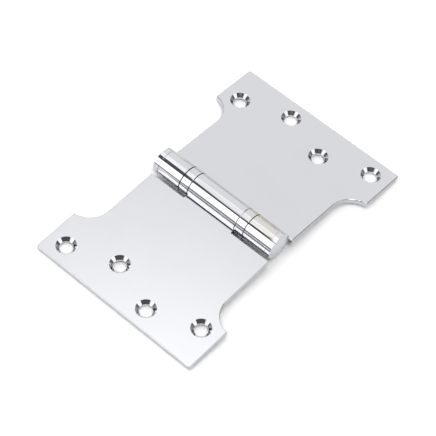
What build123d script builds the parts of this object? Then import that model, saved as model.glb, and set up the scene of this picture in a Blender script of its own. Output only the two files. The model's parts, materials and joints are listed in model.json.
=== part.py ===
from build123d import *
import math
import os

# Parliament hinge in millimetres: X runs across the leaves, Y along the pin, Z up.
# Z = 0 is the table. The barrel and the two outer leaf edges rest on it.

# Leaf plates
LEAF_LENGTH = 101.6
LEAF_REACH = 80.0
LEAF_THICKNESS = 3.0
FLANGE_WIDTH = 26.7
WEB_STEP = 11.6
NOTCH_RADIUS = 12.65
CORNER_RADIUS = 1.2
TIP_RADIUS = 0.4
FRONT_RADIUS = 0.5
BACK_CHAMFER = 0.3
CLOSED_GAP = 1.2

# Screw holes: the outer column's distance from the long edge, the inner one's from the outer, and the
# end holes' distance from the leaf's ends
HOLE_SETBACK = 10.0
HOLE_STAGGER = 10.0
HOLE_END = 10.675
HOLE_DIAMETER = 7.2
COUNTERSINK_DIAMETER = 10.6
COUNTERSINK_ANGLE = 90.0

# Barrel
BARREL_DIAMETER = 15.0
KNUCKLE_WALL = 3.0
KNUCKLE_INSET = 3.3
OUTER_KNUCKLE = 14.5
BEARING_WIDTH = 5.8
BARREL_OFFSET = 1.5
BARREL_GAP = 1.8
SHOULDER_GAP = 0.5
ROLL_SLIT = 0.3
BEND_RADIUS = 3.0
RIM_CHAMFER = 0.2

# Caps and pin
CAP_LENGTH = 3.0
CAP_DOME = 1.2
CAP_CHAMFER = 0.6
SPIGOT_LENGTH = 3.0
PIN_CLEARANCE = 0.05
PIN_CHAMFER = 0.5

# Ball bearings
BALL_DIAMETER = 1.588
BALLS_PER_BEARING = 6
BALL_SINK = 0.25
GROOVE_ANGLE = 120.0
BALL_CLEARANCE = 0.02
POCKET_CLEARANCE = 0.03
SHELL_WALL = 0.8
SHELL_GAP = 0.2
CAGE_GAP = 0.1
CAGE_THICKNESS = 0.6

# Sizes that follow from the ones above
barrel_r = BARREL_DIAMETER / 2
bore_r = barrel_r - KNUCKLE_WALL
pin_r = bore_r - PIN_CLEARANCE
shell_bore_r = barrel_r - SHELL_WALL
ball_r = BALL_DIAMETER / 2
ball_circle_r = (pin_r + shell_bore_r) / 2
race_face = ball_r - BALL_SINK
groove_slope = math.radians(GROOVE_ANGLE / 2)
groove_bottom = (ball_r + BALL_CLEARANCE) / math.sin(groove_slope)
groove_reach = (groove_bottom - race_face) * math.tan(groove_slope)
face_z = -CLOSED_GAP / 2
back_z = face_z - LEAF_THICKNESS
cutout_x = barrel_r + BARREL_GAP
shoulder_x = barrel_r + SHOULDER_GAP
outer_column = LEAF_REACH - HOLE_SETBACK
inner_column = outer_column - HOLE_STAGGER
hole_pitch = (LEAF_LENGTH - 2 * HOLE_END) / 3
half_web = LEAF_LENGTH / 2 - WEB_STEP

# Stations along the pin, counted from the middle of the barrel
outer_end = half_web - KNUCKLE_INSET
outer_start = outer_end - OUTER_KNUCKLE
middle_end = outer_start - BEARING_WIDTH

# Angle of each leaf below level, so that its lower edge meets the table
edge_x = LEAF_REACH - BACK_CHAMFER
tent_angle = math.degrees(math.asin(barrel_r / math.hypot(edge_x, back_z)) + math.atan2(back_z, edge_x))


def along_pin(profile):
    """Solid of revolution about the pin's axis, from a profile of (radius, station) points or a face."""
    face = profile if isinstance(profile, (Sketch, Face)) else make_face(Polyline(*profile, close=True))
    return revolve(face, axis=Axis.Y)


def leaf_outline(tongues):
    """Flat outline of a leaf reaching out along +X, with its inner edge stepped in where a tongue is."""
    half = LEAF_LENGTH / 2
    flange_x = LEAF_REACH - FLANGE_WIDTH
    rise = NOTCH_RADIUS - WEB_STEP
    arc_x = flange_x - math.sqrt(NOTCH_RADIUS**2 - rise**2)
    blank = Pos((LEAF_REACH + cutout_x) / 2, 0) * Rectangle(LEAF_REACH - cutout_x, 2 * half_web)
    blank += Pos((LEAF_REACH + arc_x) / 2, 0) * Rectangle(LEAF_REACH - arc_x, LEAF_LENGTH)
    for side in (-1, 1):
        blank -= Pos(arc_x, side * (half_web + NOTCH_RADIUS)) * Circle(NOTCH_RADIUS)
    for low, high in tongues:
        step = (cutout_x + arc_x) / 2 - shoulder_x
        blank += Pos(shoulder_x + step / 2, (low + high) / 2) * Rectangle(step, high - low)
    ends = [v for v in blank.vertices() if abs(v.Y) > half - TIP_RADIUS]
    blank = fillet([v for v in ends if v.X > flange_x + TIP_RADIUS], CORNER_RADIUS)
    ends = [v for v in blank.vertices() if abs(v.Y) > half - TIP_RADIUS]
    return fillet([v for v in ends if v.X < flange_x + TIP_RADIUS], TIP_RADIUS)


def leaf_plate(tongues):
    """Plate with its front face half the closed gap below the pin's axis, rounded there and chamfered behind."""
    plate = Pos(0, 0, back_z) * extrude(leaf_outline(tongues), LEAF_THICKNESS)
    plate = fillet(plate.faces().sort_by(Axis.Z)[-1].edges(), FRONT_RADIUS)
    return chamfer(plate.faces().sort_by(Axis.Z)[0].edges(), BACK_CHAMFER)


def screw_hole(x, y):
    """Cutter for one countersunk hole, with its rim on the top face."""
    rim_r, hole_r = COUNTERSINK_DIAMETER / 2, HOLE_DIAMETER / 2
    depth = (rim_r - hole_r) / math.tan(math.radians(COUNTERSINK_ANGLE / 2))
    spare = 1.0
    slope = (rim_r - hole_r) / depth
    profile = [
        (0, spare),
        (rim_r + spare * slope, spare),
        (hole_r, -depth),
        (hole_r, -LEAF_THICKNESS - spare),
        (0, -LEAF_THICKNESS - spare),
    ]
    cutter = revolve(make_face(Polyline(*profile, close=True)), axis=Axis.Y)
    return Pos(x, y, face_z) * Rot(90, 0, 0) * cutter


def knuckle_root(length):
    """Where the plate bends down into the knuckle, blended to the barrel on the back."""
    wall_r = (barrel_r + bore_r) / 2
    blend_x = math.sqrt((barrel_r + BEND_RADIUS) ** 2 - (back_z - BEND_RADIUS) ** 2)
    centre = Vector(blend_x, back_z - BEND_RADIUS)
    on_barrel = centre * (barrel_r / centre.length)
    plate_end = Vector(cutout_x + 2 * FRONT_RADIUS, back_z)
    middle = centre + (on_barrel.normalized() * -1 + Vector(0, 1)).normalized() * BEND_RADIUS
    inner_back = on_barrel.normalized() * wall_r
    inner_face = (math.sqrt(wall_r**2 - face_z**2), face_z)
    outline = [
        Line((plate_end.X, face_z), inner_face),
        Line(inner_face, inner_back),
        Line(inner_back, on_barrel),
        ThreePointArc(on_barrel, middle, (blend_x, back_z)),
        Line((blend_x, back_z), plate_end),
        Line(plate_end, (plate_end.X, face_z)),
    ]
    return Rot(90, 0, 0) * extrude(make_face(outline), length)


def knuckle(low, high):
    """One rolled knuckle between two stations, with the slit where the rolled end meets the plate."""
    tube = along_pin([
        (bore_r, low),
        (barrel_r - RIM_CHAMFER, low),
        (barrel_r, low + RIM_CHAMFER),
        (barrel_r, high - RIM_CHAMFER),
        (barrel_r - RIM_CHAMFER, high),
        (bore_r, high),
    ])
    root = Pos(0, high, 0) * knuckle_root(high - low)
    slit_x = barrel_r / 2
    slit = Pos(slit_x + barrel_r / 2, (low + high) / 2, face_z + ROLL_SLIT / 2) * Box(
        barrel_r, high - low, ROLL_SLIT
    )
    return (tube + root - slit).solid()


def hinge_leaf(knuckles, tongues, hole_columns):
    """A whole leaf lying level with its plate along +X and the pin's axis as the origin."""
    leaf = leaf_plate(tongues)
    for low, high in knuckles:
        leaf += knuckle(low, high)
    for row, x in enumerate(hole_columns):
        leaf -= screw_hole(x, (1.5 - row) * hole_pitch)
    return leaf.solid()


def right_leaf():
    """Leaf with the two outer knuckles; the plate beside each runs on to the web's end."""
    upper = (BARREL_OFFSET + outer_start, BARREL_OFFSET + outer_end)
    lower = (BARREL_OFFSET - outer_end, BARREL_OFFSET - outer_start)
    leaf = hinge_leaf(
        [upper, lower],
        [(upper[0], half_web), (-half_web, lower[1])],
        [inner_column, outer_column, inner_column, outer_column],
    )
    return Rot(0, tent_angle, 0) * leaf


def left_leaf():
    """Leaf with the long middle knuckle, made along +X and turned over to -X."""
    middle = (BARREL_OFFSET - middle_end, BARREL_OFFSET + middle_end)
    leaf = hinge_leaf([middle], [middle], [outer_column, inner_column, outer_column, inner_column])
    return Rot(0, -tent_angle, 0) * mirror(leaf, about=Plane.YZ)


def hinge_pin():
    """Straight pin through all knuckles, stopping at the spigots of the caps."""
    top = BARREL_OFFSET + outer_end - SPIGOT_LENGTH
    bottom = BARREL_OFFSET - outer_end + SPIGOT_LENGTH
    return along_pin([
        (0, bottom),
        (pin_r - PIN_CHAMFER, bottom),
        (pin_r, bottom + PIN_CHAMFER),
        (pin_r, top - PIN_CHAMFER),
        (pin_r - PIN_CHAMFER, top),
        (0, top),
    ])


def end_cap(side):
    """Button cap with a spigot pressed into the knuckle's bore and a low dome outside."""
    dome_r = barrel_r - CAP_CHAMFER
    sphere_r = (dome_r**2 + CAP_DOME**2) / (2 * CAP_DOME)
    sphere_y = CAP_LENGTH + CAP_DOME - sphere_r
    halfway = dome_r / 2
    dome = ThreePointArc(
        (dome_r, CAP_LENGTH),
        (halfway, sphere_y + math.sqrt(sphere_r**2 - halfway**2)),
        (0, CAP_LENGTH + CAP_DOME),
    )
    turned = Polyline(
        (0, CAP_LENGTH + CAP_DOME),
        (0, -SPIGOT_LENGTH),
        (bore_r, -SPIGOT_LENGTH),
        (bore_r, 0),
        (barrel_r, 0),
        (barrel_r, CAP_LENGTH - CAP_CHAMFER),
        (dome_r, CAP_LENGTH),
    )
    cap = along_pin(make_face([turned, dome]))
    if side < 0:
        cap = mirror(cap, about=Plane.XZ)
    return Pos(0, BARREL_OFFSET + side * outer_end, 0) * cap


def bearing_shell():
    """Outer ring of a bearing, pressed on the outer race and just clear of the knuckles beside it."""
    end = BEARING_WIDTH / 2 - SHELL_GAP
    start = -end
    return along_pin([
        (shell_bore_r, start),
        (barrel_r - RIM_CHAMFER, start),
        (barrel_r, start + RIM_CHAMFER),
        (barrel_r, end - RIM_CHAMFER),
        (barrel_r - RIM_CHAMFER, end),
        (shell_bore_r, end),
    ])


def race(side, outer_r):
    """Thrust washer on one side of the balls, with a V-shaped groove that they run in."""
    face, end = side * race_face, side * BEARING_WIDTH / 2
    return along_pin([
        (bore_r, face),
        (ball_circle_r - groove_reach, face),
        (ball_circle_r, side * groove_bottom),
        (ball_circle_r + groove_reach, face),
        (outer_r, face),
        (outer_r, end),
        (bore_r, end),
    ])


def ball_place(number):
    """Place of one ball on its circle, level with the middle of the bearing."""
    angle = 360 / BALLS_PER_BEARING * (number - 1)
    return Rot(0, angle, 0) * Pos(ball_circle_r, 0, 0)


def ball_cage():
    """Thin ring with a pocket for each ball."""
    low, high = -CAGE_THICKNESS / 2, CAGE_THICKNESS / 2
    inner_r, outer_r = pin_r + CAGE_GAP, shell_bore_r - CAGE_GAP
    cage = along_pin([(inner_r, low), (outer_r, low), (outer_r, high), (inner_r, high)])
    for number in range(1, BALLS_PER_BEARING + 1):
        pocket = Cylinder(ball_r + POCKET_CLEARANCE, 2 * CAGE_THICKNESS)
        cage -= ball_place(number) * Rot(90, 0, 0) * pocket
    return cage


def bearing(name, side):
    """All the pieces of one ball bearing, the outer race beside the outer knuckle."""
    pieces = {
        f"{name}_bearing_shell": bearing_shell(),
        f"{name}_outer_race": race(1, shell_bore_r),
        f"{name}_inner_race": race(-1, shell_bore_r - CAGE_GAP),
        f"{name}_ball_cage": ball_cage(),
    }
    for number in range(1, BALLS_PER_BEARING + 1):
        pieces[f"{name}_ball_{number}"] = ball_place(number) * Sphere(ball_r)
    if side < 0:
        pieces = {node: mirror(piece, about=Plane.XZ) for node, piece in pieces.items()}
    station = BARREL_OFFSET + side * (middle_end + BEARING_WIDTH / 2)
    return {node: Pos(0, station, 0) * piece for node, piece in pieces.items()}


def hinge():
    """Every piece by its node's name, about the pin's axis."""
    return {
        "left_leaf": left_leaf(),
        "right_leaf": right_leaf(),
        "hinge_pin": hinge_pin(),
        "upper_cap": end_cap(1),
        "lower_cap": end_cap(-1),
        **bearing("upper", 1),
        **bearing("lower", -1),
    }


os.makedirs("parts", exist_ok=True)
for node, piece in hinge().items():
    placed = Pos(0, 0, barrel_r) * piece
    placed.label = node
    export_step(placed, f"parts/{node}.step")
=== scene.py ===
import json
import logging
import math
from dataclasses import dataclass
from enum import Enum
from typing import Any, Protocol

import bmesh
import bpy
from mathutils import Matrix, Vector

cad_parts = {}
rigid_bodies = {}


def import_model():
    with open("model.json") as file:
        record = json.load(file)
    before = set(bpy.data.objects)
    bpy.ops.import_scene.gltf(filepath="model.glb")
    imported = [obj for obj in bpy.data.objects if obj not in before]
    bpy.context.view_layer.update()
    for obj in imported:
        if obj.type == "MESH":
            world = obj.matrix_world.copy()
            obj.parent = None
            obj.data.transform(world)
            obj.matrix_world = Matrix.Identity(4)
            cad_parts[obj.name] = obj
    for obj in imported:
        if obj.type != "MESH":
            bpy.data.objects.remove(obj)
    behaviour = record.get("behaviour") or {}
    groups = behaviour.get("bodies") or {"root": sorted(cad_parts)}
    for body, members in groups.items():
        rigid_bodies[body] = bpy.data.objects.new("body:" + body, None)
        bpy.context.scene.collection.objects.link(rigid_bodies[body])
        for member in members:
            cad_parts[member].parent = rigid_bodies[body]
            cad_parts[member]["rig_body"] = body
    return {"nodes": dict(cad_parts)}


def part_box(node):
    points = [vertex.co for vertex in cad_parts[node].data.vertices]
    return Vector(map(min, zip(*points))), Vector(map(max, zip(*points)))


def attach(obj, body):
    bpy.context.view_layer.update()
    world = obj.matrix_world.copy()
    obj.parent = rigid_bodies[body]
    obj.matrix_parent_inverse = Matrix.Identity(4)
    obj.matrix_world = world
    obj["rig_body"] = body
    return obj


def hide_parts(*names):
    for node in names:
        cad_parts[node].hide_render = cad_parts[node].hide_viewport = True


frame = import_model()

LOG = logging.getLogger("parliament_hinge")
MM = 0.001

Colour = tuple[float, float, float]
WHITE: Colour = (1.0, 1.0, 1.0)


def opaque(colour: Colour, share: float = 1.0) -> tuple[float, float, float, float]:
    """A share of a colour, in the form that a colour socket takes."""
    red, green, blue = (level * share for level in colour)
    return red, green, blue, 1.0


class Value:
    """A socket whose arithmetic adds Math nodes to the tree that it belongs to."""

    def __init__(self, tree: "NodeTree", socket: bpy.types.NodeSocket) -> None:
        """Wrap one output socket of a tree."""
        self.tree = tree
        self.socket = socket

    def _math(self, operation: str, *terms: Any) -> "Value":
        """Add one Math node on these terms and return its result."""
        return self.tree.add("ShaderNodeMath", {"operation": operation}, dict(enumerate(terms)))

    def __add__(self, other: Any) -> "Value":
        """This value plus another."""
        return self._math("ADD", self, other)

    def __radd__(self, other: Any) -> "Value":
        """Another value plus this one."""
        return self._math("ADD", other, self)

    def __sub__(self, other: Any) -> "Value":
        """This value less another."""
        return self._math("SUBTRACT", self, other)

    def __rsub__(self, other: Any) -> "Value":
        """Another value less this one."""
        return self._math("SUBTRACT", other, self)

    def __mul__(self, other: Any) -> "Value":
        """This value times another."""
        return self._math("MULTIPLY", self, other)

    def __rmul__(self, other: Any) -> "Value":
        """Another value times this one."""
        return self._math("MULTIPLY", other, self)

    def maximum(self, other: Any) -> "Value":
        """The larger of this value and another."""
        return self._math("MAXIMUM", self, other)

    def arctan2(self, other: Any) -> "Value":
        """The angle in radians whose tangent is this value over another."""
        return self._math("ARCTAN2", self, other)

    def sibling(self, output: str) -> "Value":
        """Another output of the node that this value comes from."""
        return Value(self.tree, self.socket.node.outputs[output])


class NodeTree:
    """A node tree that grows by one call for each node."""

    noise_falloff: float = 0.55

    def __init__(self, tree: bpy.types.NodeTree) -> None:
        """Start on an emptied tree."""
        self.tree = tree
        tree.nodes.clear()

    def add(self, kind: str, settings: dict[str, Any] | None = None,
            inputs: dict[Any, Any] | None = None, output: int | str = 0) -> Value:
        """Add a node, set it up and connect it.

        Args:
            kind: The node's type name.
            settings: Attributes that are set first.
            inputs: Values or links by socket name or number.
            output: The output that is returned.

        Returns:
            The node's output as a value.
        """
        node = self.tree.nodes.new(kind)
        for name, setting in (settings or {}).items():
            setattr(node, name, setting)
        for key, term in (inputs or {}).items():
            if isinstance(term, Value):
                self.tree.links.new(term.socket, node.inputs[key])
            else:
                node.inputs[key].default_value = term
        return Value(self, node.outputs[output] if node.outputs else None)

    def parts(self, vector: Value) -> tuple[Value, Value, Value]:
        """The X, Y and Z of a vector."""
        first = self.add("ShaderNodeSeparateXYZ", None, {0: vector})
        return first, first.sibling("Y"), first.sibling("Z")

    def noise(self, place: Value, size: float, detail: float) -> Value:
        """Add a noise texture.

        Args:
            place: Where it is read.
            size: Size of its largest forms.
            detail: Number of finer layers.

        Returns:
            The noise, about a half on average.
        """
        inputs = {"Vector": place, "Scale": 1.0 / size, "Detail": detail, "Roughness": self.noise_falloff}
        return self.add("ShaderNodeTexNoise", None, inputs)

    def stretched(self, place: Value, scale: Colour) -> Value:
        """A place scaled along X, Y and Z, which draws a noise out into lines."""
        return self.add("ShaderNodeMapping", {"vector_type": "POINT"}, {"Vector": place, "Scale": scale})

    def blend_colours(self, factor: Any, first: Any, second: Any) -> Value:
        """Mix two colours.

        Args:
            factor: Share of the second colour.
            first: Colour or link at zero.
            second: Colour or link at one.

        Returns:
            The mixed colour.
        """
        return self.add("ShaderNodeMix", {"data_type": "RGBA"}, {0: factor, 6: first, 7: second}, 2)


@dataclass(frozen=True)
class Step:
    """A smooth step: it holds start up to low, and end from high on."""

    low: float
    high: float
    start: float = 0.0
    end: float = 1.0

    def over(self, value: Value) -> Value:
        """The step's level at each place where the value is known."""
        inputs = {0: value, 1: self.low, 2: self.high, 3: self.start, 4: self.end}
        return value.tree.add("ShaderNodeMapRange", {"interpolation_type": "SMOOTHSTEP"}, inputs)


@dataclass(frozen=True)
class Span:
    """A mask that is one between low and high and zero outside, over edges that are twice soft wide."""

    low: float
    high: float
    soft: float

    def over(self, value: Value) -> Value:
        """The mask at each place where the value is known."""
        rise = Step(self.low - self.soft, self.low + self.soft).over(value)
        return rise * Step(self.high - self.soft, self.high + self.soft, 1.0, 0.0).over(value)


def new_material(name: str) -> tuple[bpy.types.Material, NodeTree]:
    """Make an empty node material.

    Args:
        name: The material's name.

    Returns:
        The material and its tree.
    """
    material = bpy.data.materials.new(name)
    material.use_nodes = True
    return material, NodeTree(material.node_tree)


def finish_metal(tree: NodeTree, tone: Value, roughness: Value, bump: Value) -> None:
    """End a material's tree in a metal.

    Args:
        tree: The material's tree.
        tone: Its colour.
        roughness: Its roughness.
        bump: Its normal.
    """
    inputs = {"Base Color": tone, "Metallic": 1.0, "Roughness": roughness, "Normal": bump}
    shader = tree.add("ShaderNodeBsdfPrincipled", None, inputs)
    tree.add("ShaderNodeOutputMaterial", None, {"Surface": shader})


class Marks(Enum):
    """Which way fine marks run in a metal, as the scale of their noise along X, Y and Z."""

    ACROSS_LEAF = (0.03, 1.0, 1.0)
    AROUND_PIN = (0.03, 1.0, 0.03)


@dataclass(frozen=True)
class PolishedChrome:
    """Bright chrome plate over polished steel, with painted shade in the joints beside the bearing rings."""

    name: str
    marks: Marks
    axis_height: float
    colour: Colour = (0.69, 0.693, 0.722)
    roughness: float = 0.03
    ripple_size: float = 9.0 * MM
    ripple_height: float = 0.0006 * MM
    ripple_layers: float = 1.0
    line_size: float = 0.35 * MM
    line_height: float = 0.00002 * MM
    line_layers: float = 3.0
    line_gloss: float = 0.25
    haze_size: float = 18.0 * MM
    haze_depth: float = 0.015
    haze_layers: float = 4.0
    haze_tone: Step = Step(0.45, 0.72)
    haze_gloss: Step = Step(0.35, 0.75, 0.8, 1.3)
    # Painted shade: dark bands on the barrel at the joints beside the bearing rings, which widen the shaded
    # gaps there
    joint_shade_reach: float = 7.7 * MM
    joint_shade_fade: float = 0.99
    joint_shade_level: float = 0.2
    shaded_joints: tuple[Span, ...] = (
        Span(22.52 * MM, 23.20 * MM, 0.06 * MM),
        Span(16.92 * MM, 17.40 * MM, 0.06 * MM),
        Span(-20.07 * MM, -19.61 * MM, 0.06 * MM),
    )

    def build(self) -> bpy.types.Material:
        """Make the material: faint ripples from polishing, fine lines, hazy patches and painted shade at the
        joints.

        Returns:
            The material.
        """
        material, tree = new_material(self.name)
        place = tree.add("ShaderNodeTexCoord", None, None, "Object")
        ripples = tree.noise(place, self.ripple_size, self.ripple_layers)
        lines = tree.noise(tree.stretched(place, self.marks.value), self.line_size, self.line_layers)
        haze = tree.noise(place, self.haze_size, self.haze_layers)
        height = ripples * self.ripple_height + lines * self.line_height
        bump = tree.add("ShaderNodeBump", None, {"Strength": 1.0, "Distance": 1.0, "Height": height})
        hazy = opaque(self.colour, 1.0 - self.haze_depth)
        tone = tree.blend_colours(self.haze_tone.over(haze), opaque(self.colour), hazy)
        # Painted shade: the colour is darkened at the joints to stand in for the shade in the gaps
        tone = tree.blend_colours(self._painted_joint_shade(tree, place), tone, opaque(self.colour, self.joint_shade_level))
        roughness = self.roughness * (self.haze_gloss.over(haze) + lines * self.line_gloss)
        finish_metal(tree, tone, roughness, bump)
        return material

    def _painted_joint_shade(self, tree: NodeTree, place: Value) -> Value:
        """Where painted shade darkens the barrel at the joints: a dark band that stands in for the shade in
        the gaps.

        Args:
            tree: The material's tree.
            place: Object coordinates.

        Returns:
            The mask of the painted shade.
        """
        across, along, up = tree.parts(place)
        height = up - self.axis_height
        reach = self.joint_shade_reach**2
        barrel = Step(reach * self.joint_shade_fade, reach, 1.0, 0.0).over(across * across + height * height)
        return sum(joint.over(along) for joint in self.shaded_joints) * barrel


@dataclass(frozen=True)
class GroundMetal:
    """Bare metal with the marks of grinding around the pin's axis."""

    name: str
    colour: Colour
    roughness: float
    mark_size: float = 0.25 * MM
    mark_depth: float = 0.002 * MM
    mark_layers: float = 4.0
    mark_strength: float = 0.6
    mark_tone: Step = Step(0.4, 0.7)
    mark_shade: float = 0.82
    smooth_gloss: float = 0.7
    mark_gloss: float = 0.6

    def build(self) -> bpy.types.Material:
        """Make the material: fine marks across the axis and slightly uneven tone.

        Returns:
            The material.
        """
        material, tree = new_material(self.name)
        place = tree.add("ShaderNodeTexCoord", None, None, "Object")
        marks = tree.noise(tree.stretched(place, Marks.AROUND_PIN.value), self.mark_size, self.mark_layers)
        depth = {"Strength": self.mark_strength, "Distance": 1.0, "Height": marks * self.mark_depth}
        bump = tree.add("ShaderNodeBump", None, depth)
        dark = opaque(self.colour, self.mark_shade)
        tone = tree.blend_colours(self.mark_tone.over(marks), opaque(self.colour), dark)
        roughness = self.roughness * (self.smooth_gloss + marks * self.mark_gloss)
        finish_metal(tree, tone, roughness, bump)
        return material


class NodeShape:
    """A Geometry Nodes tree with named inputs that makes pieces of one kind."""

    def __init__(self, name: str, inputs: dict[str, str]) -> None:
        """Make the tree and its sockets.

        Args:
            name: The tree's name.
            inputs: Socket types by the names of the inputs.
        """
        self.group = bpy.data.node_groups.new(name, "GeometryNodeTree")
        self.tree = NodeTree(self.group)
        sockets = self.group.interface
        kinds = {"Section": "NodeSocketGeometry", "Finish": "NodeSocketMaterial", **inputs}
        for label, kind in kinds.items():
            sockets.new_socket(label, in_out="INPUT", socket_type=kind)
        sockets.new_socket("Piece", in_out="OUTPUT", socket_type="NodeSocketGeometry")
        self.given = self.tree.add("NodeGroupInput")

    def given_input(self, label: str) -> Value:
        """The value of a named input inside the tree."""
        return self.given.sibling(label)

    def lay_down(self, shape: Value, place: Value) -> Value:
        """Turn a shape made about Z onto the pin's direction and move it to its place."""
        return self.tree.add("GeometryNodeTransform", None,
                             {0: shape, "Translation": place, "Rotation": (math.pi / 2, 0.0, 0.0)})

    def close(self, shape: Value, sharp_angle: float) -> None:
        """End the tree: smooth it up to an angle, realize it and give it its finish.

        Args:
            shape: The geometry so far.
            sharp_angle: Angle in radians above which an edge stays sharp.
        """
        add = self.tree.add
        smooth = add("GeometryNodeSetShadeSmooth", {"domain": "FACE"}, {0: shape, "Shade Smooth": True})
        angle = add("GeometryNodeInputMeshEdgeAngle")
        sharp = add("FunctionNodeCompare", {"operation": "GREATER_THAN"}, {0: angle, 1: sharp_angle})
        edged = add("GeometryNodeSetShadeSmooth", {"domain": "EDGE"},
                    {0: smooth, 1: sharp, "Shade Smooth": False})
        real = add("GeometryNodeRealizeInstances", None, {0: edged})
        dressed = add("GeometryNodeSetMaterial", None, {0: real, "Material": self.given_input("Finish")})
        add("NodeGroupOutput", None, {"Piece": dressed})

    def make(self, name: str, start: bpy.types.Mesh, values: dict[str, Any]) -> bpy.types.Object:
        """Run the tree on a mesh and keep the result as a plain mesh.

        Args:
            name: The piece's name.
            start: The mesh that the tree starts from.
            values: What the named inputs are set to.

        Returns:
            The finished object, at the origin.
        """
        piece = bpy.data.objects.new(name, start)
        bpy.context.scene.collection.objects.link(piece)
        modifier = piece.modifiers.new(self.group.name, "NODES")
        modifier.node_group = self.group
        for socket in self.group.interface.items_tree:
            if socket.in_out == "INPUT" and socket.name in values:
                modifier[socket.identifier] = values[socket.name]
        seen = piece.evaluated_get(bpy.context.evaluated_depsgraph_get())
        mesh = bpy.data.meshes.new_from_object(seen)
        piece.modifiers.clear()
        piece.data = mesh
        mesh.name = name
        mesh.materials.clear()
        mesh.materials.append(values["Finish"])
        mesh.polygons.foreach_set("material_index", [0] * len(mesh.polygons))
        self._turn_outwards(mesh)
        return piece

    @staticmethod
    def _turn_outwards(mesh: bpy.types.Mesh) -> None:
        """Make all faces of a closed mesh point outwards.

        Args:
            mesh: The mesh.
        """
        work = bmesh.new()
        work.from_mesh(mesh)
        bmesh.ops.recalc_face_normals(work, faces=work.faces)
        work.to_mesh(mesh)
        work.free()


@dataclass(frozen=True)
class Corner:
    """A corner of a turned section: distance from the pin's axis, station along the pin, and rounding."""

    radius: float
    station: float
    rounding: float = 0.0

    def place(self) -> Vector:
        """Where the corner lies in the section's plane."""
        return Vector((self.radius, self.station))


class Lathe:
    """Turns sections about the pin's axis, with rounded corners."""

    core: float = 0.0002 * MM
    merge_reach: float = 2.5
    hold: float = 0.03 * MM
    segments: int = 144
    arc_steps: int = 4
    sharp_angle: float = math.radians(35.0)

    def __init__(self, axis_height: float) -> None:
        """Build the tree that does the turning.

        Args:
            axis_height: Height of the pin's axis above the table.
        """
        self.axis_height = axis_height
        self.shape = NodeShape("turned_piece", {
            "Segments": "NodeSocketInt", "Arc Steps": "NodeSocketInt",
            "Axis Height": "NodeSocketFloat", "Core": "NodeSocketFloat"})
        tree, given = self.shape.tree, self.shape.given_input
        section = tree.add("GeometryNodeMeshToCurve", None, {0: given("Section")})
        rounding = tree.add("GeometryNodeInputNamedAttribute", {"data_type": "FLOAT"}, {"Name": "rounding"})
        rounded = tree.add(
            "GeometryNodeFilletCurve", {"mode": "POLY"},
            {0: section, "Count": given("Arc Steps"), "Radius": rounding, "Limit Radius": True})
        path = tree.add("GeometryNodeCurvePrimitiveCircle", None,
                        {"Resolution": given("Segments"), "Radius": given("Core")})
        upright = tree.add("GeometryNodeSetCurveNormal", {"mode": "Z_UP"}, {0: path})
        swept = tree.add("GeometryNodeCurveToMesh", None, {"Curve": upright, "Profile Curve": rounded})
        reach = given("Core") * self.merge_reach
        merged = tree.add("GeometryNodeMergeByDistance", None, {0: swept, "Distance": reach})
        height = tree.add("ShaderNodeCombineXYZ", None, {"Z": given("Axis Height")})
        self.shape.close(self.shape.lay_down(merged, height), self.sharp_angle)

    def turn(self, name: str, section: list[Corner], closed: bool,
             finish: bpy.types.Material) -> bpy.types.Object:
        """Turn one piece.

        Args:
            name: The piece's name.
            section: Its corners in order, from axis to axis unless the section is closed.
            closed: Whether the last corner joins the first, as in a ring.
            finish: Its material.

        Returns:
            The turned piece.
        """
        section = self._held(section, closed)
        links = [(n, n + 1) for n in range(len(section) - 1)]
        if closed:
            links.append((len(section) - 1, 0))
        outline = bpy.data.meshes.new(name + "_section")
        outline.from_pydata([(corner.radius, corner.station, 0.0) for corner in section], links, [])
        rounding = outline.attributes.new("rounding", "FLOAT", "POINT")
        rounding.data.foreach_set("value", [corner.rounding for corner in section])
        values = {"Segments": self.segments, "Arc Steps": self.arc_steps, "Axis Height": self.axis_height,
                  "Core": self.core, "Finish": finish}
        return self.shape.make(name, outline, values)

    def _held(self, section: list[Corner], closed: bool) -> list[Corner]:
        """Add a point just beside each rounded corner, which keeps the faces there flat when smoothed.

        Args:
            section: The corners of a section in order.
            closed: Whether the last corner joins the first.

        Returns:
            The corners with the added points.
        """
        held = []
        for n, corner in enumerate(section):
            at_end = not closed and n in (0, len(section) - 1)
            if corner.rounding == 0.0 or at_end:
                held.append(corner)
                continue
            here = corner.place()
            beside = (section[n - 1], section[(n + 1) % len(section)])
            arms = [neighbour.place() - here for neighbour in beside]
            turn = math.pi - arms[0].angle(arms[1])
            reach = corner.rounding * math.tan(turn / 2) + self.hold
            before, after = ([Corner(*(here + arm.normalized() * reach))] if arm.length > 2 * reach else []
                             for arm in arms)
            held += [*before, corner, *after]
        return held


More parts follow.
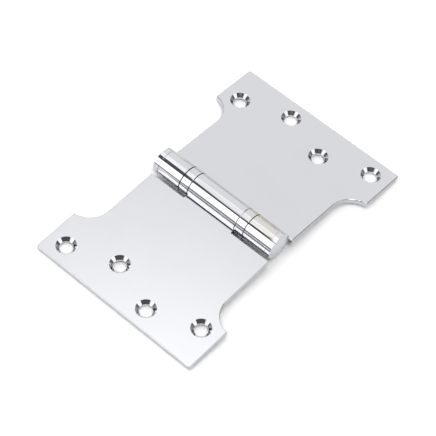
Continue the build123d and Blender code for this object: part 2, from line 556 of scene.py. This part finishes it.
class BallRow:
    """Sets balls evenly on a circle about the pin's axis."""

    segments: int = 32
    rings: int = 20
    sharp_angle: float = math.radians(90.0)

    def __init__(self, axis_height: float) -> None:
        """Build the tree that sets the balls.

        Args:
            axis_height: Height of the pin's axis above the table.
        """
        self.axis_height = axis_height
        self.shape = NodeShape("ball_row", {
            "Balls": "NodeSocketInt", "Circle Radius": "NodeSocketFloat", "Ball Radius": "NodeSocketFloat",
            "Station": "NodeSocketFloat", "Axis Height": "NodeSocketFloat"})
        tree, given = self.shape.tree, self.shape.given_input
        circle = tree.add("GeometryNodeMeshCircle", None,
                          {"Vertices": given("Balls"), "Radius": given("Circle Radius")})
        ball = tree.add("GeometryNodeMeshUVSphere", None,
                        {"Segments": self.segments, "Rings": self.rings, "Radius": given("Ball Radius")})
        row = tree.add("GeometryNodeInstanceOnPoints", None, {"Points": circle, "Instance": ball})
        place = tree.add("ShaderNodeCombineXYZ", None, {"Y": given("Station"), "Z": given("Axis Height")})
        real = tree.add("GeometryNodeRealizeInstances", None, {0: self.shape.lay_down(row, place)})
        self.shape.close(real, self.sharp_angle)

    def set_balls(self, name: str, count: int, circle_radius: float, ball_radius: float, station: float,
                  finish: bpy.types.Material) -> bpy.types.Object:
        """Make one row of balls.

        Args:
            name: The piece's name.
            count: Number of balls.
            circle_radius: Radius of the circle through their middles.
            ball_radius: Radius of a ball.
            station: Place of the circle along the pin.
            finish: The balls' material.

        Returns:
            All the balls as one piece.
        """
        values = {"Balls": count, "Circle Radius": circle_radius, "Ball Radius": ball_radius,
                  "Station": station, "Axis Height": self.axis_height, "Finish": finish}
        return self.shape.make(name, bpy.data.meshes.new(name + "_start"), values)


def node_span(name: str) -> tuple[float, float, float]:
    """Size of a turned node.

    Args:
        name: The node's name.

    Returns:
        Its radius and its lowest and highest station along the pin.
    """
    low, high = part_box(name)
    return (high.x - low.x) / 2, low.y, high.y


def dress(name: str, finish: bpy.types.Material) -> None:
    """Give a node of the frame its material.

    Args:
        name: The node's name.
        finish: The material.
    """
    for slot in frame["nodes"][name].material_slots:
        slot.material = finish
    LOG.info("dressed %s in %s", name, finish.name)


def stand_in(piece: bpy.types.Object, nodes: list[str]) -> None:
    """Let a finished piece stand for nodes of the frame, on their body.

    Args:
        piece: The finished piece.
        nodes: The nodes that it replaces.
    """
    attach(piece, frame["nodes"][nodes[0]]["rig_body"])
    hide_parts(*nodes)
    LOG.info("made %s for %s", piece.name, ", ".join(nodes))


class End(Enum):
    """An end of the pin."""

    UPPER = "upper"
    LOWER = "lower"

    @property
    def outwards(self) -> int:
        """Which way this end points along the pin."""
        return 1 if self is End.UPPER else -1


@dataclass(frozen=True)
class EndCap:
    """A button cap: a spigot in the knuckle's bore, a short skirt and a low dome."""

    end: End
    spigot_length: float = 3.0 * MM
    knuckle_wall: float = 3.0 * MM
    dome_height: float = 1.2 * MM
    rim_rounding: float = 0.15 * MM
    spigot_rounding: float = 0.3 * MM
    dome_steps: int = 8

    def build(self, lathe: Lathe, finish: bpy.types.Material) -> None:
        """Turn the cap and put it in its node's place.

        Args:
            lathe: Turns the piece.
            finish: The cap's material.
        """
        node = f"{self.end.value}_cap"
        radius, low, high = node_span(node)
        inner, outer = (low, high) if self.end is End.UPPER else (high, low)
        out = self.end.outwards
        seam = inner + out * self.spigot_length
        spigot = radius - self.knuckle_wall
        section = [
            Corner(0.0, inner),
            Corner(spigot, inner, self.spigot_rounding),
            Corner(spigot, seam),
            Corner(radius, seam),
        ]
        for step in range(self.dome_steps + 1):
            share = 1.0 - step / self.dome_steps
            rounding = self.rim_rounding if step == 0 else 0.0
            section.append(Corner(radius * share, outer - out * self.dome_height * share**2, rounding))
        stand_in(lathe.turn(f"{node}_turned", section, False, finish), [node])


@dataclass(frozen=True)
class Bearing:
    """A ball bearing between two knuckles: shell, two races, cage and balls."""

    end: End
    shell_wall: float = 0.8 * MM
    shell_rounding: float = 0.16 * MM

    def build(self, lathe: Lathe, rows: BallRow, chrome: bpy.types.Material, steel: bpy.types.Material,
              brass: bpy.types.Material) -> None:
        """Turn the shell, set the balls and dress the races and the cage.

        Args:
            lathe: Turns the shell.
            rows: Sets the balls.
            chrome: Finish of the shell.
            steel: Finish of the races and balls.
            brass: Finish of the cage.
        """
        name = self.end.value
        self._shell(lathe, chrome)
        self._balls(rows, steel)
        dress(f"{name}_outer_race", steel)
        dress(f"{name}_inner_race", steel)
        dress(f"{name}_ball_cage", brass)

    def _shell(self, lathe: Lathe, finish: bpy.types.Material) -> None:
        """Turn the ring that shows between the knuckles.

        Args:
            lathe: Turns the ring.
            finish: Its material.
        """
        node = f"{self.end.value}_bearing_shell"
        radius, low, high = node_span(node)
        section = [
            Corner(radius - self.shell_wall, low),
            Corner(radius, low, self.shell_rounding),
            Corner(radius, high, self.shell_rounding),
            Corner(radius - self.shell_wall, high),
        ]
        stand_in(lathe.turn(f"{node}_turned", section, True, finish), [node])

    def _balls(self, rows: BallRow, finish: bpy.types.Material) -> None:
        """Set the balls on their circle, where the first one lies straight out to +X.

        Args:
            rows: Sets the balls.
            finish: Their material.
        """
        start = f"{self.end.value}_ball_"
        nodes = [node for node in frame["nodes"] if node.startswith(start) and node[len(start):].isdigit()]
        ball_radius, low, high = node_span(nodes[0])
        near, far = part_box(nodes[0])
        piece = rows.set_balls(f"{self.end.value}_balls", len(nodes), (near.x + far.x) / 2, ball_radius,
                               (low + high) / 2, finish)
        stand_in(piece, nodes)


@dataclass(frozen=True)
class PinAndLeaves:
    """The two leaves with their knuckles, and the pin through them."""

    leaves: tuple[str, str] = ("left_leaf", "right_leaf")
    pin: str = "hinge_pin"

    def axis_height(self) -> float:
        """Height of the pin's axis above the table."""
        low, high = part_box(self.pin)
        return (low.z + high.z) / 2

    def build(self, chrome: bpy.types.Material, steel: bpy.types.Material) -> None:
        """Dress the leaves and the pin.

        Args:
            chrome: Finish of the leaves.
            steel: Finish of the pin.
        """
        for leaf in self.leaves:
            dress(leaf, chrome)
        dress(self.pin, steel)


@dataclass(frozen=True)
class PhotoCamera:
    """The camera that took the photograph, aimed at a point on the table; its angles are in degrees."""

    focus: tuple[float, float] = (-3.2 * MM, -0.7 * MM)
    distance: float = 920.7 * MM
    heading: float = 53.15
    elevation: float = 53.43
    roll: float = -5.99
    focal_pixels: float = 1835.9
    image_pixels: float = 436.0
    sensor: float = 36.0
    nearest: float = 10.0 * MM
    farthest: float = 20000.0 * MM

    def build(self) -> None:
        """Make the camera and set it as the scene's own."""
        turn, rise, tilt = (math.radians(angle) for angle in (self.heading, self.elevation, self.roll))
        forward = Vector((math.cos(rise) * math.sin(turn), math.cos(rise) * math.cos(turn), -math.sin(rise)))
        level = forward.cross(Vector((0.0, 0.0, 1.0))).normalized()
        down = forward.cross(level)
        right = level * math.cos(tilt) + down * math.sin(tilt)
        up = right.cross(forward)
        data = bpy.data.cameras.new("photo_camera")
        data.sensor_width = self.sensor
        data.lens = self.sensor * self.focal_pixels / self.image_pixels
        data.clip_start = self.nearest
        data.clip_end = self.farthest
        camera = bpy.data.objects.new("photo_camera", data)
        bpy.context.scene.collection.objects.link(camera)
        place = Vector((*self.focus, 0.0)) - forward * self.distance
        axes = Matrix((right, up, -forward)).transposed().to_4x4()
        camera.matrix_world = Matrix.Translation(place) @ axes
        bpy.context.scene.camera = camera
        LOG.info("set the camera")


@dataclass(frozen=True)
class Direction:
    """A direction into the room.

    Attributes:
        turn: Degrees around the pin's direction, from straight up towards the right leaf.
        heading: Degrees around the upright, from the right leaf towards the pin's upper end.
        along: Share of the direction that goes along the pin, towards its upper end.
        up: Share that goes up.
    """

    turn: Value
    heading: Value
    along: Value
    up: Value

    @classmethod
    def of_room(cls, tree: NodeTree) -> "Direction":
        """Read the direction in the world's tree.

        Args:
            tree: The world's tree.

        Returns:
            The direction.
        """
        across, along, up = tree.parts(tree.add("ShaderNodeTexCoord", None, None, "Generated"))
        degree = math.degrees(1.0)
        return cls(across.arctan2(up) * degree, along.arctan2(across) * degree, along, up)


class Lamp(Protocol):
    """Something in the room that gives light."""

    def light(self, to: Direction) -> Value:
        """Its level in a direction."""


# Shares along the pin of the parts of the room that one knuckle alone mirrors
LOWER_KNUCKLE = Span(0.3285, 0.343, 0.001)
MIDDLE_KNUCKLE = Span(0.3435, 0.3775, 0.001)


@dataclass(frozen=True)
class DarkRoom:
    """The unlit room: a little brighter low down, past the pin's upper end and high up in front."""

    level: float = 0.10
    low_walls: Step = Step(0.12, 0.36, 0.22, 0.0)
    end_wall: Step = Step(0.6, 0.95, 0.0, 0.15)
    corner_turn: Step = Step(-48.0, -38.0)
    corner_along: Step = Step(0.42, 0.55, 0.0, 0.3)
    front_along: Step = Step(-0.45, -0.25, 0.4, 0.0)
    front_up: Step = Step(0.66, 0.78)

    def light(self, to: Direction) -> Value:
        """Level of the room.

        Args:
            to: The direction.

        Returns:
            The level.
        """
        corner = self.corner_turn.over(to.turn) * self.corner_along.over(to.along)
        front = self.front_along.over(to.along) * self.front_up.over(to.up)
        return self.level + self.low_walls.over(to.up) + self.end_wall.over(to.along) + corner + front


@dataclass(frozen=True)
class LeftSoftbox:
    """The softbox at the left, dimmer towards the pin's lower end, with its lower frame."""

    level: float = 2.0
    turn: Span = Span(-75.5, -30.5, 1.5)
    along: Span = Span(-0.06, 0.53, 0.07)
    dimmer: Step = Step(-0.05, 0.28, 0.4, 1.0)
    upper_shift: Step = Step(0.378, 0.384, 0.0, 4.0)
    lower_shift: Step = Step(0.25, 0.31, 9.0, 0.0)
    frame_level: float = 0.35
    frame_turn: Span = Span(-100.0, -76.0, 3.0)
    frame_along: Span = Span(0.05, 0.65, 0.1)

    def light(self, to: Direction) -> Value:
        """Level of the softbox and its frame.

        Args:
            to: The direction.

        Returns:
            The level.
        """
        turn = to.turn + self.upper_shift.over(to.along) + self.lower_shift.over(to.along)
        box = self.turn.over(turn) * self.along.over(to.along) * self.dimmer.over(to.along)
        frame_below = self.frame_turn.over(to.turn) * self.frame_along.over(to.along)
        return box * self.level + frame_below * self.frame_level


@dataclass(frozen=True)
class CeilingPanel:
    """The ceiling panel, whose left edge leaves a dark strip of uneven width beside the left softbox.

    Shifts are in degrees of turn. They move the left edge to the right.
    """

    level: float = 1.0
    left_edge: Step = Step(-19.8, -16.8)
    right_edge: Step = Step(81.0, 88.0, 1.0, 0.25)
    front_end: Step = Step(-0.35, -0.15)
    dimmer: Step = Step(-0.05, 0.28, 0.6, 1.0)
    far_end: Step = Step(0.6, 0.9, 1.0, 0.45)
    shifts: tuple[Step, ...] = (
        Step(0.358, 0.378, 0.0, 6.0), Step(0.380, 0.384, 0.0, 5.0), Step(0.328, 0.3286, -7.0, 0.0))
    knuckle_shift: float = 4.0
    foot: Span = Span(0.3288, 0.3304, 0.0004)
    foot_shift: float = 8.0
    glow: float = 0.51
    glow_turn: Step = Step(18.0, 28.0, 1.0, 0.0)
    glow_along: Step = Step(0.31, 0.47, 1.0, 0.2)
    shade: float = 0.6
    shade_turn: Span = Span(-9.0, 17.0, 4.0)
    lower_fall: Step = Step(44.0, 88.0, 0.0, 0.16)
    middle_fall: Step = Step(-16.0, -5.0, 0.4, 0.0)

    def light(self, to: Direction) -> Value:
        """Level of the panel, with a glow overhead and its fall where the knuckles mirror it.

        Args:
            to: The direction.

        Returns:
            The level.
        """
        lower, middle = LOWER_KNUCKLE.over(to.along), MIDDLE_KNUCKLE.over(to.along)
        shift = (sum(step.over(to.along) for step in self.shifts) + lower * self.knuckle_shift
                 + self.foot.over(to.along) * self.foot_shift)
        panel = self.left_edge.over(to.turn - shift) * self.right_edge.over(to.turn)
        for end in (self.front_end, self.dimmer, self.far_end):
            panel = panel * end.over(to.along)
        shade = self.shade_turn.over(to.turn) * (lower + middle) * self.shade
        glow = self.glow_turn.over(to.turn) * self.glow_along.over(to.along) * self.glow * (1.0 - shade)
        fall = lower * self.lower_fall.over(to.turn) + middle * self.middle_fall.over(to.turn)
        return panel * (self.level + glow) * (1.0 - fall)


@dataclass(frozen=True)
class FrontSoftbox:
    """The softbox in front of the pin's lower end."""

    level: float = 1.45
    heading: Span = Span(-90.0, -55.5, 4.0)
    up: Span = Span(0.26, 0.62, 0.05)

    def light(self, to: Direction) -> Value:
        """Level of the softbox."""
        return self.heading.over(to.heading) * self.up.over(to.up) * self.level


@dataclass(frozen=True)
class OverheadSoftbox:
    """The softbox above the camera, which lights the table in front of the hinge."""

    level: float = 6.0
    turn: Span = Span(-22.0, -3.0, 3.0)
    along: Span = Span(-0.58, -0.2, 0.05)

    def light(self, to: Direction) -> Value:
        """Level of the softbox."""
        return self.turn.over(to.turn) * self.along.over(to.along) * self.level


@dataclass(frozen=True)
class WarmCard:
    """A small warm card at the right, in the part of the room that the lower knuckle alone mirrors."""

    colour: Colour = (1.06, 1.0, 0.88)
    turns: tuple[Span, ...] = (Span(-10.0, 17.0, 2.0), Span(29.0, 34.0, 2.0), Span(45.0, 94.0, 2.0))

    def tint(self, to: Direction) -> Value:
        """The colour of the light from a direction, neutral outside the card."""
        card = sum(turn.over(to.turn) for turn in self.turns) * LOWER_KNUCKLE.over(to.along)
        return card.tree.blend_colours(card, opaque(WHITE), opaque(self.colour))


@dataclass(frozen=True)
class Studio:
    """A pale table in a room of softboxes under a ceiling panel, painted by direction."""

    floor_half: float = 3.0
    floor_colour: float = 0.50
    floor_in_metal: float = 1.1
    floor_seen: float = 1.33
    room: DarkRoom = DarkRoom()
    lamps: tuple[Lamp, ...] = (LeftSoftbox(), CeilingPanel(), FrontSoftbox(), OverheadSoftbox())
    warm_card: WarmCard = WarmCard()

    def build(self) -> None:
        """Make the floor and the room."""
        self._lay_floor()
        self._light_room()
        LOG.info("set up the studio")

    def _lay_floor(self) -> None:
        """Lay the pale table that the hinge rests on."""
        half = self.floor_half
        corners = [(-half, -half, 0.0), (half, -half, 0.0), (half, half, 0.0), (-half, half, 0.0)]
        mesh = bpy.data.meshes.new("studio_floor")
        mesh.from_pydata(corners, [], [(0, 1, 2, 3)])
        floor = bpy.data.objects.new("studio_floor", mesh)
        bpy.context.scene.collection.objects.link(floor)
        material, tree = new_material("pale_table")
        seen = tree.add("ShaderNodeLightPath", None, None, "Is Camera Ray")
        mirrored = seen.sibling("Is Glossy Ray").maximum(seen.sibling("Is Transmission Ray"))
        level = (self.floor_colour + seen * (self.floor_seen - self.floor_colour)
                 + mirrored * (self.floor_in_metal - self.floor_colour))
        paint = tree.add("ShaderNodeBsdfDiffuse", None, {"Color": level})
        tree.add("ShaderNodeOutputMaterial", None, {"Surface": paint})
        mesh.materials.append(material)

    def _light_room(self) -> None:
        """Paint the room by direction, plain white where the camera sees it."""
        world = bpy.data.worlds.new("studio_room")
        bpy.context.scene.world = world
        world.use_nodes = True
        tree = NodeTree(world.node_tree)
        to = Direction.of_room(tree)
        level = self.room.light(to)
        for lamp in self.lamps:
            level = level.maximum(lamp.light(to))
        seen = tree.add("ShaderNodeLightPath", None, None, "Is Camera Ray")
        strength = seen + (1.0 - seen) * level
        inputs = {"Color": self.warm_card.tint(to), "Strength": strength}
        light = tree.add("ShaderNodeBackground", None, inputs)
        tree.add("ShaderNodeOutputWorld", None, {"Surface": light})


def main() -> None:
    """Build the finishes, the sub-assemblies, the camera and the studio."""
    logging.basicConfig(level=logging.INFO, format="%(name)s: %(message)s")
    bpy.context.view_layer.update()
    plates = PinAndLeaves()
    axis_height = plates.axis_height()
    leaf_chrome = PolishedChrome("plate_chrome", Marks.ACROSS_LEAF, axis_height).build()
    turned_chrome = PolishedChrome("turned_chrome", Marks.AROUND_PIN, axis_height).build()
    steel = GroundMetal("ground_steel", colour=(0.56, 0.56, 0.58), roughness=0.28).build()
    brass = GroundMetal("stamped_brass", colour=(0.76, 0.60, 0.30), roughness=0.35).build()
    plates.build(leaf_chrome, steel)
    lathe = Lathe(axis_height)
    rows = BallRow(axis_height)
    for end in End:
        EndCap(end).build(lathe, turned_chrome)
        Bearing(end).build(lathe, rows, turned_chrome, steel, brass)
    PhotoCamera().build()
    Studio().build()
    bpy.context.scene.view_settings.view_transform = "Standard"


if __name__ == "__main__":
    main()
